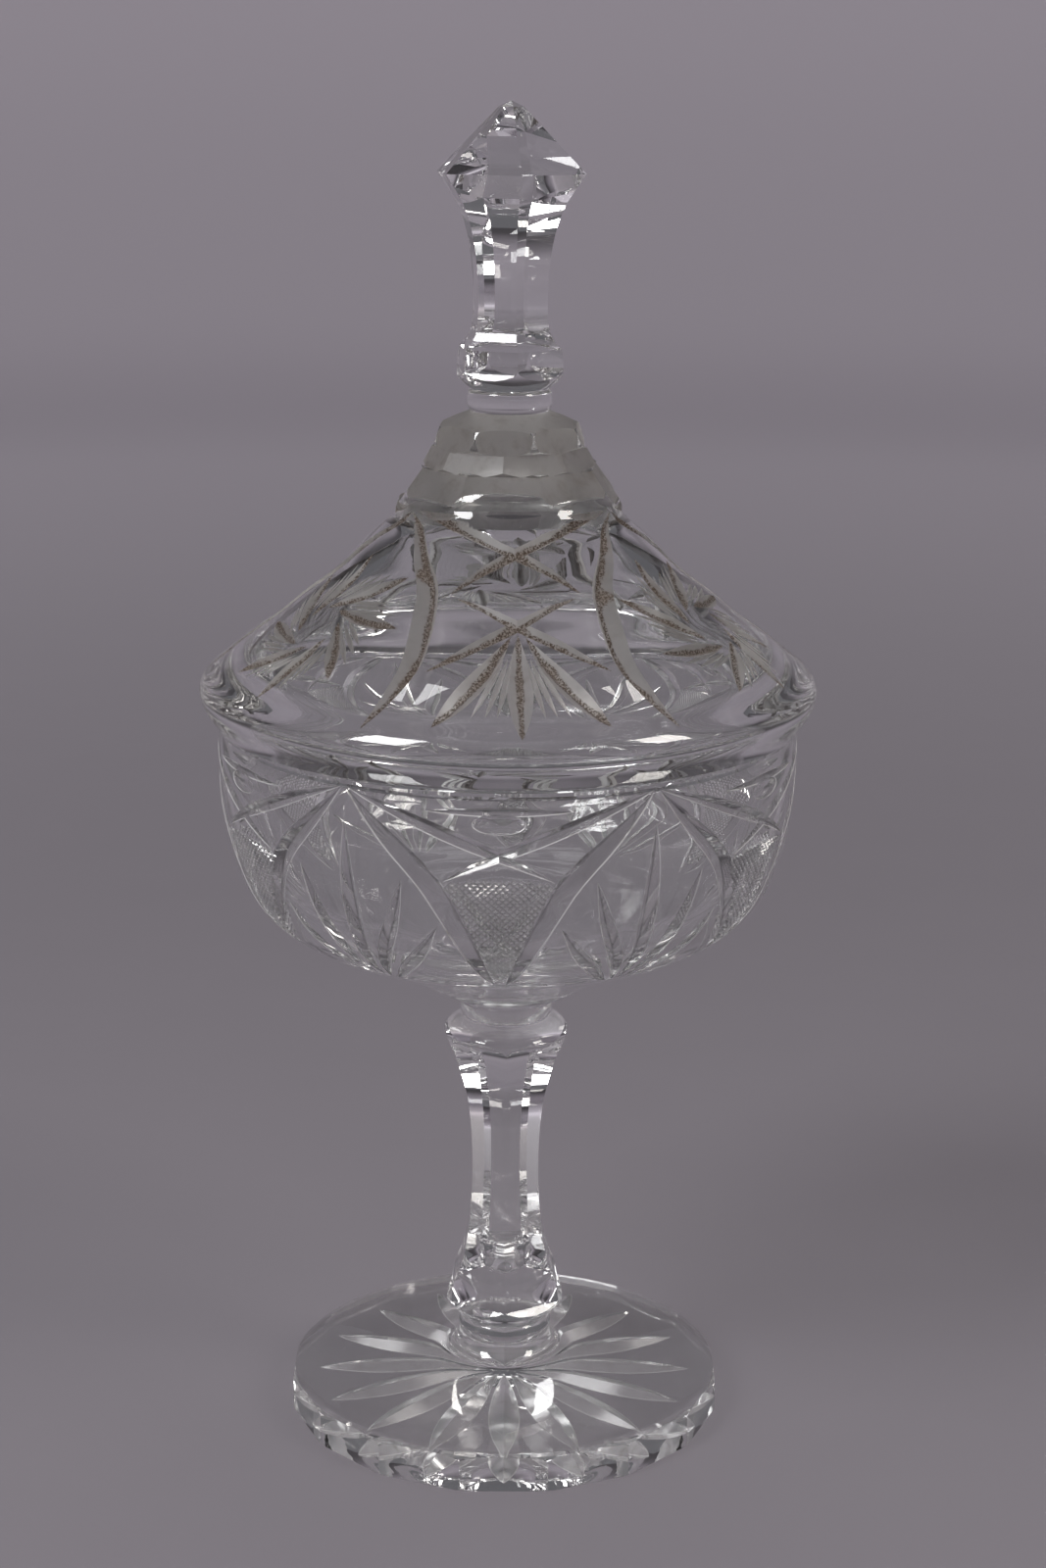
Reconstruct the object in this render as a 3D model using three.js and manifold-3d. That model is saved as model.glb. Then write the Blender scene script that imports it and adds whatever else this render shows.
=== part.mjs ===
// Covered compote of colourless cut crystal: foot, faceted stem, bowl, lift-off cover and finial.
// Millimetres, +Z up, the bowl's axis on Z, the table at z = 0 and the front towards -Y.
// Angles are in degrees round the axis, 0 at the front and positive towards +X.

import * as THREE from 'three';
import { mergeVertices } from 'three/addons/utils/BufferGeometryUtils.js';
import Module from 'manifold-3d';

const wasm = await Module();
wasm.setup();

// Heights of the pieces, from the table up
const footRimHeight = 10.2;
const footBossHeight = 9.3;
const footCollarHeight = 5.5;
const stemHeight = 89.2;
const bowlCollarHeight = 5.3;
const bowlHeight = 78.5;
const coverHeight = 82.7;
const coverCollarHeight = 5.7;
const finialHeight = 73.3;

// Foot
const footRadius = 60.6;
const footPanels = 16;
const footEdgeBevel = 1.2;
const footBossRadius = 12.8;
const footBossFlare = 9;
const starRayLength = 52;
const starRayDepth = 3.2;
const starRayStart = 3;
const starStations = 5;

// Collars, the short glass rings that join one piece to the next
const footCollarRadius = 12.9;
const bowlCollarRadius = 12.6;
const coverCollarRadius = 11.1;
const collarWaist = 0.7;
const collarRounding = 0.3;

// Stem
const stemSides = 6;
const stemFootRadius = 12.1;
const stemSkirtRadius = 16.8;
const stemWaistRadius = 10.6;
const stemShoulderRadius = 17.4;
const stemTopRadius = 12.6;
const stemSkirtRounding = 1.4;
const stemShoulderRounding = 1.8;
const stemFlareSpan = 5;
const stemTaper = 1.2;

// Bowl
const bowlPanels = 6;
const bowlBossRadius = 13.2;
const bowlHipRadius = 58;
const bowlWaistRadius = 74;
const bowlRimRadius = 77.5;
const bowlWall = 6;
const bowlFloor = 11;
const bowlHipSwell = 2.4;
const bowlFloorDish = 0.6;
const bowlMouthBand = 2;
const bowlTurn = -1.5;

// Cover
const coverPanels = 3;
const coverTopRadius = 18;
const coverNeckRadius = 28.4;
const coverShoulderRadius = 46.7;
const coverWidestRadius = 82.5;
const coverSeatRadius = 78;
const coverWall = 6.5;
const coverCrownThickness = 16;
const crownRadius = 13.5;
const crownDrop = 4;
const coverTurn = 2.5;
const seatGap = 0.3;
const flangeDepth = 4.5;
const flangeWidth = 3;
const flangeClearance = 0.8;
const coverDomeSwell = 5.4;
const coverShoulderSwell = 1;
const coverBandStep = 1.9;
const neckStep = 2.2;
const neckTopStep = 2.4;
const neckEdge = 0.4;

// Finial
const finialSides = 6;
const finialFootRadius = 10.4;
const finialSkirtRadius = 14.2;
const finialNeckRadius = 9.9;
const finialGirdleRadius = 20.8;
const finialTurn = 8;
const finialSkirtRounding = 1.8;
const finialTaper = 1.4;
const finialFlareSpan = 3;
const finialTipShare = 0.17;

// Cuts: depth of each kind of groove, and half of its width for each millimetre of depth
const arcDepth = 2.6;
const mitreDepth = 1.7;
const leafDepth = 1;
const fanDepth = 2;
const hatchDepth = 0.9;
const crescentDepth = 2.4;
const whirlDepth = 1.5;
const printDepth = 1.2;
const facetDepth = 1.2;
const wideBevel = 1.35;
const mitreBevel = 1.1;

// How far a cutter stands clear of the glass, and above it where a groove runs out
const cutLift = 2.4;
const cutRunOut = 0.12;
const cutFullness = 0.8;

// Oval prints near the bowl's rim
const printWidth = 15;
const printHeight = 5.6;
const printShare = 0.885;

// Paths of the cuts on the bowl, from a panel's middle line: [angle, share of the bowl's height]
const bowlArc = [[29.5, 0.975], [18.5, 0.82], [10.5, 0.687], [5.3, 0.522], [0.5, 0.287]];
const bowlMitre = [[30, 0.978], [14, 0.885], [0, 0.787], [-10.5, 0.697]];
const bowlTopLeaf = [[-14, 0.93], [0, 0.932], [14, 0.93]];
const fanMiddleLeaf = [[0, 0.29], [0, 0.87]];
const fanInnerLeaf = [[1.6, 0.285], [8.5, 0.52], [11.5, 0.69]];
const fanOuterLeaf = [[3.4, 0.28], [12.5, 0.4], [17.8, 0.53]];
const hatchShares = [0.47, 0.6];
const hatchRise = 0.05;
const hatchFoot = 0.25;
const hatchSpread = 20;

// Paths of the cuts on the cover, from a panel's middle line: [angle, share of the cover's height]
const crescent = [[58, 0.69], [34, 0.582], [24.7, 0.456], [23.3, 0.36], [29.5, 0.165]];
const upperMitre = [[45, 0.705], [0, 0.606], [-22, 0.502]];
const lowerMitre = [[19.5, 0.49], [0, 0.424], [-21.5, 0.31]];
const coverMiddleLeaf = [[0, 0.4], [0, 0.165]];
const coverSideLeaf = [[2.5, 0.4], [9, 0.29], [16, 0.18]];

// The whirling star between two panels: where its hub is, how far it reaches and how its arms lean
const whirlArms = 8;
const whirlShare = 0.37;
const whirlReachAngle = 24;
const whirlReachShare = 0.2;
const whirlStart = 0.2;
const whirlLean = 0.5;

// Rows of flat facets round the cover's neck: [share of the cover's height, turn in facets, size]
const neckFacetCount = 8;
const neckFacetTurn = -6.5;
const neckRows = [[0.9, 0.5, 9], [0.82, 0, 11], [0.765, 0.5, 12]];

// Facets of the turned pieces, and stations of a long and of a short cut
const bigTurns = 36;
const smallTurns = 24;
const longCut = 8;
const middleCut = 6;
const shortCut = 4;
const tinyCut = 3;

// Where each piece starts on the axis
const footTop = footRimHeight + footBossHeight;
const stemBase = footTop + footCollarHeight;
const stemTop = stemBase + stemHeight;
const bowlBase = stemTop + bowlCollarHeight;
const bowlRim = bowlBase + bowlHeight;
const coverSeat = bowlRim + seatGap;
const coverTop = coverSeat + coverHeight;
const finialBase = coverTop + coverCollarHeight;

// Solids

function solid(geometry) {
  geometry.deleteAttribute('normal');
  geometry.deleteAttribute('uv');
  const merged = mergeVertices(geometry, 1e-4);
  return new wasm.Manifold(new wasm.Mesh({
    numProp: 3,
    vertProperties: new Float32Array(merged.attributes.position.array),
    triVerts: new Uint32Array(merged.index.array),
  }));
}

function named(name, body, material) {
  const { vertProperties, triVerts } = body.getMesh();
  const geometry = new THREE.BufferGeometry();
  geometry.setAttribute('position', new THREE.BufferAttribute(new Float32Array(vertProperties), 3));
  geometry.setIndex(new THREE.BufferAttribute(new Uint32Array(triVerts), 1));
  geometry.computeVertexNormals();
  const mesh = new THREE.Mesh(geometry, material);
  mesh.name = name;
  return mesh;
}

// Rings of points, all of one count, stacked into a closed body; a ring of one point makes a pointed end
function loft(rings) {
  const points = rings.flat();
  const starts = rings.map((ring, i) => rings.slice(0, i).reduce((sum, r) => sum + r.length, 0));
  const faces = [];
  for (let i = 0; i + 1 < rings.length; i++) {
    const low = rings[i].length;
    const high = rings[i + 1].length;
    const count = Math.max(low, high);
    for (let k = 0; k < count; k++) {
      const next = (k + 1) % count;
      const a = starts[i] + (k % low);
      const b = starts[i] + (next % low);
      const c = starts[i + 1] + (next % high);
      const d = starts[i + 1] + (k % high);
      if (a !== b) faces.push(a, b, c);
      if (c !== d) faces.push(a, c, d);
    }
  }
  const last = rings.length - 1;
  for (let k = 1; k + 1 < rings[0].length; k++) faces.push(0, k + 1, k);
  for (let k = 1; k + 1 < rings[last].length; k++) faces.push(starts[last], starts[last] + k, starts[last] + k + 1);
  const geometry = new THREE.BufferGeometry();
  geometry.setAttribute('position', new THREE.Float32BufferAttribute(points.flatMap((p) => p.toArray()), 3));
  geometry.setIndex(faces);
  return solid(geometry);
}

// A turned body from its outline of [radius, height] points, which starts and ends on the axis
function turned(outline, turns) {
  const geometry = new THREE.LatheGeometry(outline.map(([r, z]) => new THREE.Vector2(r, z)), turns);
  geometry.rotateX(Math.PI / 2);
  return solid(geometry);
}

// Outlines

// A smooth line through the rows, with one more point in each span
function rounded(rows) {
  const curve = new THREE.SplineCurve(rows.map(([r, z]) => new THREE.Vector2(r, z)));
  return curve.getPoints(2 * (rows.length - 1)).map((p) => [p.x, p.y]);
}

// Rows of [radius, share of the height] to [radius, height]
function raised(rows, base, height) {
  return rows.map(([r, share]) => [r, base + share * height]);
}

function onAxis(outline) {
  const first = outline[0];
  const last = outline[outline.length - 1];
  return [[0, first[1]], ...outline, [0, last[1]]];
}

// The line that lies under an outline by the wall, measured square to it
function inset(outline, wall) {
  return outline.map(([r, z], i) => {
    const [r0, z0] = outline[Math.max(i - 1, 0)];
    const [r1, z1] = outline[Math.min(i + 1, outline.length - 1)];
    const length = Math.hypot(r1 - r0, z1 - z0);
    return [r - wall * (z1 - z0) / length, z + wall * (r1 - r0) / length];
  });
}

// Radius and slope of an outline at a height
function surfaceAt(outline, z) {
  const last = outline.length - 2;
  let i = outline.findIndex((row, k) => k <= last && z <= outline[k + 1][1]);
  if (i < 0) i = last;
  const [r0, z0] = outline[i];
  const [r1, z1] = outline[i + 1];
  const t = THREE.MathUtils.clamp((z - z0) / (z1 - z0), 0, 1);
  return { radius: r0 + t * (r1 - r0), slope: (r1 - r0) / (z1 - z0) };
}

function around(radius, angle, z) {
  const a = THREE.MathUtils.degToRad(angle);
  return new THREE.Vector3(radius * Math.sin(a), -radius * Math.cos(a), z);
}

// A place on a turned surface, with the way out of the glass
function onSurface(outline, angle, z) {
  const { radius, slope } = surfaceAt(outline, z);
  const point = around(radius, angle, z);
  const out = around(1, angle, -slope).normalize();
  return { point, out };
}

// Cuts

// A V groove along a path of places on the glass, deepest in the middle, running out at its ends
function groove(places, depth, bevel) {
  const count = places.length - 1;
  const rings = places.map(({ point, out }, i) => {
    const ahead = places[Math.min(i + 1, count)].point;
    const behind = places[Math.max(i - 1, 0)].point;
    const along = ahead.clone().sub(behind).normalize();
    const side = along.clone().cross(out).normalize();
    const share = Math.sin(Math.PI * i / count) ** cutFullness;
    const deep = -cutRunOut + (depth + cutRunOut) * share;
    const half = (deep + cutLift) * bevel;
    const low = point.clone().addScaledVector(out, -deep);
    const lip = point.clone().addScaledVector(out, cutLift);
    return [
      low,
      lip.clone().addScaledVector(side, -half),
      lip.clone().addScaledVector(side, half),
    ];
  });
  return loft(rings);
}

// Stations of a path through [angle, height] rows on a turned surface
function pathOn(outline, rows, stations) {
  const curve = new THREE.SplineCurve(rows.map(([a, z]) => new THREE.Vector2(a, z)));
  return Array.from({ length: stations }, (_, i) => {
    const p = curve.getPoint(i / (stations - 1));
    return onSurface(outline, p.x, p.y);
  });
}

// A piece's own way of cutting: rows of [angle, share of its height], turned by an angle and mirrored if asked
function cutter(outline, base, height, turn) {
  return (rows, stations, depth, bevel, mirror = 1) => {
    const placed = rows.map(([a, share]) => [turn + mirror * a, base + share * height]);
    return groove(pathOn(outline, placed, stations), depth, bevel);
  };
}

// A shallow oval print
function thumbprint(outline, angle, z) {
  const { point, out } = onSurface(outline, angle, z);
  const ball = new THREE.SphereGeometry(1, 10, 6);
  ball.scale(printWidth / 2, printHeight / 2, printDepth);
  const basis = new THREE.Matrix4().lookAt(out, new THREE.Vector3(), new THREE.Vector3(0, 0, 1));
  ball.applyMatrix4(basis);
  ball.translate(point.x, point.y, point.z);
  return solid(ball);
}

// A flat ground across a turned surface, as a thin block laid on it
function flat(outline, angle, z, size, depth) {
  const { point, out } = onSurface(outline, angle, z);
  const block = new THREE.BoxGeometry(size, size, 2 * cutLift + depth);
  block.translate(0, 0, cutLift - depth / 2);
  block.applyMatrix4(new THREE.Matrix4().lookAt(out, new THREE.Vector3(), new THREE.Vector3(0, 0, 1)));
  block.translate(point.x, point.y, point.z);
  return solid(block);
}

// A body with flat sides, whose corner radius is given at each height
function flatSided(rows, sides, turn) {
  const rings = rows.map(([r, z]) => Array.from({ length: sides }, (_, k) => {
    return around(r, turn + k * 360 / sides, z);
  }));
  return loft(rings);
}

// Pieces

function foot() {
  const top = [
    [footRadius, footRimHeight - footEdgeBevel],
    [footRadius - footEdgeBevel, footRimHeight],
    [footBossRadius + 2.4 * footBossFlare, footRimHeight + 0.14 * footBossHeight],
    [footBossRadius + footBossFlare, footRimHeight + 0.26 * footBossHeight],
    [footBossRadius + 0.3 * footBossFlare, footRimHeight + 0.52 * footBossHeight],
    [footBossRadius, footTop],
  ];
  const blank = turned([[0, 0], [footRadius, 0], ...top, [0, footTop]], bigTurns);
  const panelTurn = 180 / footPanels;
  const panels = flatSided([[footRadius, -1], [footRadius, footTop + 1]], footPanels, panelTurn);
  const down = new THREE.Vector3(0, 0, -1);
  const rays = Array.from({ length: footPanels }, (_, k) => {
    const places = Array.from({ length: starStations }, (_, i) => {
      const radius = starRayStart + (starRayLength - starRayStart) * i / (starStations - 1);
      return { point: around(radius, k * 360 / footPanels, 0), out: down };
    });
    return groove(places, starRayDepth, wideBevel);
  });
  return blank.intersect(panels).subtract(wasm.Manifold.union(rays));
}

function collar(base, height, radius, turns) {
  const rows = raised([
    [radius - collarWaist, 0],
    [radius, collarRounding],
    [radius, 1 - collarRounding],
    [radius - collarWaist, 1],
  ], base, height);
  return turned(onAxis(rows), turns);
}

// A corner radius of the stem, a share of the way from its waist to one of its ends
function stemBetween(end, share) {
  return stemWaistRadius + share * (end - stemWaistRadius);
}

function stem() {
  const round = rounded(raised([
    [stemFootRadius, 0],
    [stemSkirtRadius - stemSkirtRounding, 0.04],
    [stemSkirtRadius, 0.085],
    [stemSkirtRadius, 0.13],
  ], stemBase, stemHeight));
  const shoulder = rounded(raised([
    [stemShoulderRadius, 0.9],
    [stemShoulderRadius, 0.945],
    [stemShoulderRadius - stemShoulderRounding, 0.975],
    [stemTopRadius, 1],
  ], stemBase, stemHeight));
  const corners = raised([
    [stemSkirtRadius + stemFlareSpan, 0],
    [stemSkirtRadius, 0.08],
    [stemSkirtRadius - stemTaper, 0.146],
    [stemBetween(stemSkirtRadius, 0.34), 0.25],
    [stemBetween(stemSkirtRadius, 0.11), 0.36],
    [stemWaistRadius, 0.52],
    [stemBetween(stemShoulderRadius, 0.06), 0.625],
    [stemBetween(stemShoulderRadius, 0.29), 0.76],
    [stemBetween(stemShoulderRadius, 0.62), 0.845],
    [stemShoulderRadius, 0.925],
    [stemShoulderRadius + stemFlareSpan, 0.985],
    [stemShoulderRadius + stemFlareSpan + stemTaper, 1],
  ], stemBase, stemHeight);
  return turned(onAxis([...round, ...shoulder]), smallTurns)
    .intersect(flatSided(corners, stemSides, 0));
}

const bowlOutline = rounded(raised([
  [bowlBossRadius, 0],
  [(bowlBossRadius + bowlHipRadius) / 2, 0.155],
  [bowlHipRadius, 0.28],
  [(bowlHipRadius + bowlWaistRadius) / 2 + bowlHipSwell, 0.385],
  [bowlWaistRadius, 0.54],
  [bowlRimRadius, 0.8],
  [bowlRimRadius, 1],
], bowlBase, bowlHeight));

// The panels of the bowl: arcs and crossed mitres round a hatched field, with a fan between two panels
function bowlCuts() {
  const cuts = [];
  for (let k = 0; k < bowlPanels; k++) {
    const cut = cutter(bowlOutline, bowlBase, bowlHeight, bowlTurn + k * 360 / bowlPanels);
    const fan = cutter(bowlOutline, bowlBase, bowlHeight, bowlTurn + (k + 0.5) * 360 / bowlPanels);
    cuts.push(cut(bowlTopLeaf, shortCut, leafDepth, wideBevel));
    cuts.push(fan(fanMiddleLeaf, middleCut, fanDepth, mitreBevel));
    for (const side of [-1, 1]) {
      cuts.push(cut(bowlArc, longCut, arcDepth, wideBevel, side));
      cuts.push(cut(bowlMitre, longCut, mitreDepth, mitreBevel, side));
      cuts.push(fan(fanInnerLeaf, shortCut, fanDepth, mitreBevel, side));
      cuts.push(fan(fanOuterLeaf, shortCut, fanDepth, mitreBevel, side));
      for (const share of hatchShares) {
        const reach = (share - hatchFoot) * hatchSpread;
        const line = [[-reach, share + hatchRise], [reach, share - hatchRise]];
        cuts.push(cut(line, tinyCut, hatchDepth, mitreBevel, side));
      }
    }
  }
  return wasm.Manifold.union(cuts);
}

function bowl() {
  const mouth = bowlRimRadius - bowlWall;
  const floor = bowlBase + bowlFloor;
  const inner = inset(bowlOutline, bowlWall)
    .filter(([r, z]) => r > 2 * bowlBossRadius && z > floor + bowlFloorDish && z < bowlRim - bowlMouthBand);
  const hollow = [[0, floor], [bowlBossRadius, floor + bowlFloorDish], ...inner, [mouth, bowlRim]];
  const outline = [[0, bowlBase], ...bowlOutline, ...hollow.reverse()];
  const body = turned(outline, bigTurns).subtract(bowlCuts());
  const prints = Array.from({ length: bowlPanels }, (_, k) => {
    const angle = bowlTurn + k * 360 / bowlPanels;
    return thumbprint(bowlOutline, angle, bowlBase + printShare * bowlHeight);
  });
  return body.subtract(wasm.Manifold.union(prints));
}

const domeOutline = rounded(raised([
  [coverSeatRadius, 0],
  [coverWidestRadius, 0.12],
  [(coverWidestRadius + coverShoulderRadius) / 2 + coverDomeSwell, 0.265],
  [coverShoulderRadius, 0.478],
  [(coverShoulderRadius + coverNeckRadius) / 2 + coverShoulderSwell, 0.585],
  [coverNeckRadius + coverBandStep, 0.668],
], coverSeat, coverHeight));

const neckOutline = raised([
  [coverNeckRadius, 0.73],
  [coverNeckRadius - neckStep, 0.76],
  [(coverNeckRadius + coverTopRadius) / 2 + coverShoulderSwell, 0.8],
  [coverTopRadius + neckTopStep, 0.88],
  [coverTopRadius, 0.955],
  [coverCollarRadius + coverBandStep, 0.985],
  [coverCollarRadius - collarWaist + neckEdge, 1],
], coverSeat, coverHeight);

const coverOutline = [...domeOutline, ...neckOutline];

// The large panels of the cover between their crescents, and a whirling star between two panels
function coverCuts() {
  const cuts = [];
  for (let k = 0; k < coverPanels; k++) {
    const cut = cutter(coverOutline, coverSeat, coverHeight, coverTurn + k * 360 / coverPanels);
    const star = cutter(coverOutline, coverSeat, coverHeight, coverTurn + (k + 0.5) * 360 / coverPanels);
    cuts.push(cut(coverMiddleLeaf, shortCut, fanDepth, wideBevel));
    for (const side of [-1, 1]) {
      cuts.push(cut(crescent, longCut, crescentDepth, wideBevel, side));
      cuts.push(cut(upperMitre, middleCut, mitreDepth, mitreBevel, side));
      cuts.push(cut(lowerMitre, middleCut, mitreDepth, mitreBevel, side));
      cuts.push(cut(coverSideLeaf, shortCut, fanDepth, mitreBevel, side));
    }
    for (let arm = 0; arm < whirlArms; arm++) {
      const along = (arm + 0.5) * 2 * Math.PI / whirlArms;
      const place = (part, bend) => [
        whirlReachAngle * part * Math.cos(along + bend),
        whirlShare + whirlReachShare * part * Math.sin(along + bend),
      ];
      cuts.push(star([place(whirlStart, -whirlLean), place(1, 0)], shortCut, whirlDepth, mitreBevel));
    }
  }
  return wasm.Manifold.union(cuts);
}

// Flat facets ground round the neck in staggered rows
function neckFacets() {
  const facets = neckRows.flatMap(([share, offset, size]) => Array.from({ length: neckFacetCount }, (_, k) => {
    const angle = coverTurn + neckFacetTurn + (k + offset) * 360 / neckFacetCount;
    return flat(coverOutline, angle, coverSeat + share * coverHeight, size, facetDepth);
  }));
  return wasm.Manifold.union(facets);
}

function cover() {
  const flangeOuter = bowlRimRadius - bowlWall - flangeClearance;
  const flangeInner = flangeOuter - flangeWidth;
  const ceiling = coverTop - coverCrownThickness;
  const inner = inset(domeOutline, coverWall)
    .filter(([r, z]) => r < flangeInner && z > coverSeat + coverWall && z < ceiling - crownDrop);
  const lowest = inner[0][1];
  const hollow = [
    [0, ceiling],
    [0.6 * crownRadius, ceiling - 0.3 * crownDrop],
    [crownRadius, ceiling - crownDrop],
    ...inner.reverse(),
    [flangeInner, (coverSeat + 3 * lowest) / 4],
    [flangeInner, coverSeat - flangeDepth],
    [flangeOuter, coverSeat - flangeDepth],
    [flangeOuter, coverSeat],
  ];
  const outline = [...hollow, ...coverOutline, [0, coverTop]];
  return turned(outline, bigTurns).subtract(coverCuts()).subtract(neckFacets());
}

// A corner radius of the finial, a share of the way from its neck to its girdle
function finialBetween(share) {
  return finialNeckRadius + share * (finialGirdleRadius - finialNeckRadius);
}

function finial() {
  const round = rounded(raised([
    [finialFootRadius, 0],
    [finialSkirtRadius - finialSkirtRounding, 0.025],
    [finialSkirtRadius, 0.06],
    [finialSkirtRadius, 0.1],
  ], finialBase, finialHeight));
  const clear = finialGirdleRadius + finialFlareSpan;
  const rest = raised([[clear, 0.2], [clear, 1]], finialBase, finialHeight);
  const corners = raised([
    [finialSkirtRadius + finialFlareSpan, 0],
    [finialSkirtRadius, 0.068],
    [finialSkirtRadius - finialTaper, 0.148],
    [finialBetween(0.1), 0.2],
    [finialNeckRadius, 0.24],
    [finialNeckRadius, 0.38],
    [finialBetween(0.09), 0.5],
    [finialBetween(0.29), 0.59],
    [finialGirdleRadius, 0.755],
    [finialTipShare * finialGirdleRadius, 0.975],
  ], finialBase, finialHeight);
  const rings = corners.map(([r, z]) => Array.from({ length: finialSides }, (_, k) => {
    return around(r, finialTurn + k * 360 / finialSides, z);
  }));
  rings.push([new THREE.Vector3(0, 0, finialBase + finialHeight)]);
  return turned(onAxis([...round, ...rest]), smallTurns).intersect(loft(rings));
}

// Materials: clear polished crystal, and the slightly greyer cover, whose cuts are left unpolished

function glass(color, roughness) {
  return new THREE.MeshStandardMaterial({ color, roughness, metalness: 0, flatShading: true });
}

const crystal = () => glass(0xe9ecef, 0.04);
const cutCrystal = () => glass(0xd9d9da, 0.2);

const compote = new THREE.Group();
compote.name = 'covered_compote';
compote.add(
  named('foot', foot(), crystal()),
  named('foot_collar', collar(footTop, footCollarHeight, footCollarRadius, smallTurns), crystal()),
  named('stem', stem(), crystal()),
  named('bowl_collar', collar(stemTop, bowlCollarHeight, bowlCollarRadius, smallTurns), crystal()),
  named('bowl', bowl(), crystal()),
  named('cover', cover(), cutCrystal()),
  named('cover_collar', collar(coverTop, coverCollarHeight, coverCollarRadius, smallTurns), crystal()),
  named('finial', finial(), crystal()),
);

export default compote;
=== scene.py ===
"""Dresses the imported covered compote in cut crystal, on a pale paper sweep under soft boxes."""

import math

import bpy
import bmesh
import numpy as np
from mathutils import Matrix, Vector, kdtree


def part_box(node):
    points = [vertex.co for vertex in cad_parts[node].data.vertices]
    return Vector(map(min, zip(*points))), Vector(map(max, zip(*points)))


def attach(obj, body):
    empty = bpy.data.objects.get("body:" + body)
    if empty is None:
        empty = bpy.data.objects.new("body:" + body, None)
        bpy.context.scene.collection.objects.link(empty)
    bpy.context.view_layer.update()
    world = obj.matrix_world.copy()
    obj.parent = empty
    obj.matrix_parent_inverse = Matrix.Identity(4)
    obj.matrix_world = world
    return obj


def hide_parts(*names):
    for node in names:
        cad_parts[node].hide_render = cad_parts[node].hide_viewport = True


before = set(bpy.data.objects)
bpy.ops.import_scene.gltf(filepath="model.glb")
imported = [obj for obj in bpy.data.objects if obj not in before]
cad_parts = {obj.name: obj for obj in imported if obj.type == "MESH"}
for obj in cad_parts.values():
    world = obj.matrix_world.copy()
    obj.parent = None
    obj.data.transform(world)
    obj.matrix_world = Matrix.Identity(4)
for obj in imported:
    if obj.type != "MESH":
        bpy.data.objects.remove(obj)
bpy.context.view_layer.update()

# Lengths are in millimetres up to the moment a mesh is made. Angles are in degrees round the axis, 0 at the
# front (-Y) and positive towards +X.
MM = 0.001


def level(node, end):
    """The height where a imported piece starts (end 0) or stops (end 1)."""
    return round(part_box(node)[end].z / MM, 2)


# Where the pieces meet on the axis
FOOT_TOP = level("foot", 1)
STEM_BASE, STEM_TOP = level("stem", 0), level("stem", 1)
BOWL_BASE, BOWL_RIM = level("bowl", 0), level("bowl", 1)
COVER_TOP = level("cover", 1)
FINIAL_BASE, FINIAL_TIP = level("finial", 0), level("finial", 1)
SEAT_GAP = 0.3
COVER_SEAT = round(BOWL_RIM + SEAT_GAP, 2)

# Radii of the hot joints between the pieces
FOOT_JOINT = 12.2
STEM_FOOT_JOINT = 12.1
STEM_TOP_JOINT = 11.9
BOWL_JOINT = 11.9
COVER_JOINT = 10.4
FINIAL_JOINT = 10.4

# Sides of the turned blanks
SIDES_BIG = 288
SIDES_FOOT = 192
SIDES_SMALL = 144

# Edges sharper than this many degrees stay crisp, on turned pieces and on those with flat sides
CREASE = 21
CREASE_FLAT = 16

# A cutter stands this far over the glass, its ends rise this far out of it, and its points lie this far apart
LIFT = 1.6
RUN_OUT = 0.1
CUT_STEP = 1.2

# The depth of a point under the skin and its distance from the bottom of a cut are held to these, so that
# both change evenly across a broad face. Points deeper than INSIDE count as far from every cut.
DEEPEST = 4.0
FARTHEST = 5.0
INSIDE = 3.9

# Collars stop this short of their neighbours, because light can't cross two faces that lie in one plane
HAIR = 0.02

# Points this close to a plane lie in it
CLOSE = 0.001


# Lines and surfaces


def smooth(rows, step=1.0):
    """A smooth line through rows of points, with a point about every step."""
    p = np.array(rows, float)
    gap = np.linalg.norm(np.diff(p, axis=0), axis=1)
    slope = np.diff(p, axis=0) / gap[:, None]
    middle = (slope[:-1] * gap[1:, None] + slope[1:] * gap[:-1, None]) / (gap[:-1] + gap[1:])[:, None]
    lead = np.vstack([slope[:1], middle, slope[-1:]])
    line = []
    for i, length in enumerate(gap):
        t = np.arange(max(1, round(length / step)))[:, None] / max(1, round(length / step))
        line.append(
            (2 * t**3 - 3 * t**2 + 1) * p[i] + (t**3 - 2 * t**2 + t) * length * lead[i]
            + (3 * t**2 - 2 * t**3) * p[i + 1] + (t**3 - t**2) * length * lead[i + 1]
        )
    return np.vstack(line + [p[-1:]])


def place(radius, angle, z):
    """Points round the axis, from radii, angles and heights."""
    a = np.radians(angle)
    return np.stack(np.broadcast_arrays(radius * np.sin(a), -radius * np.cos(a), z), -1)


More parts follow.
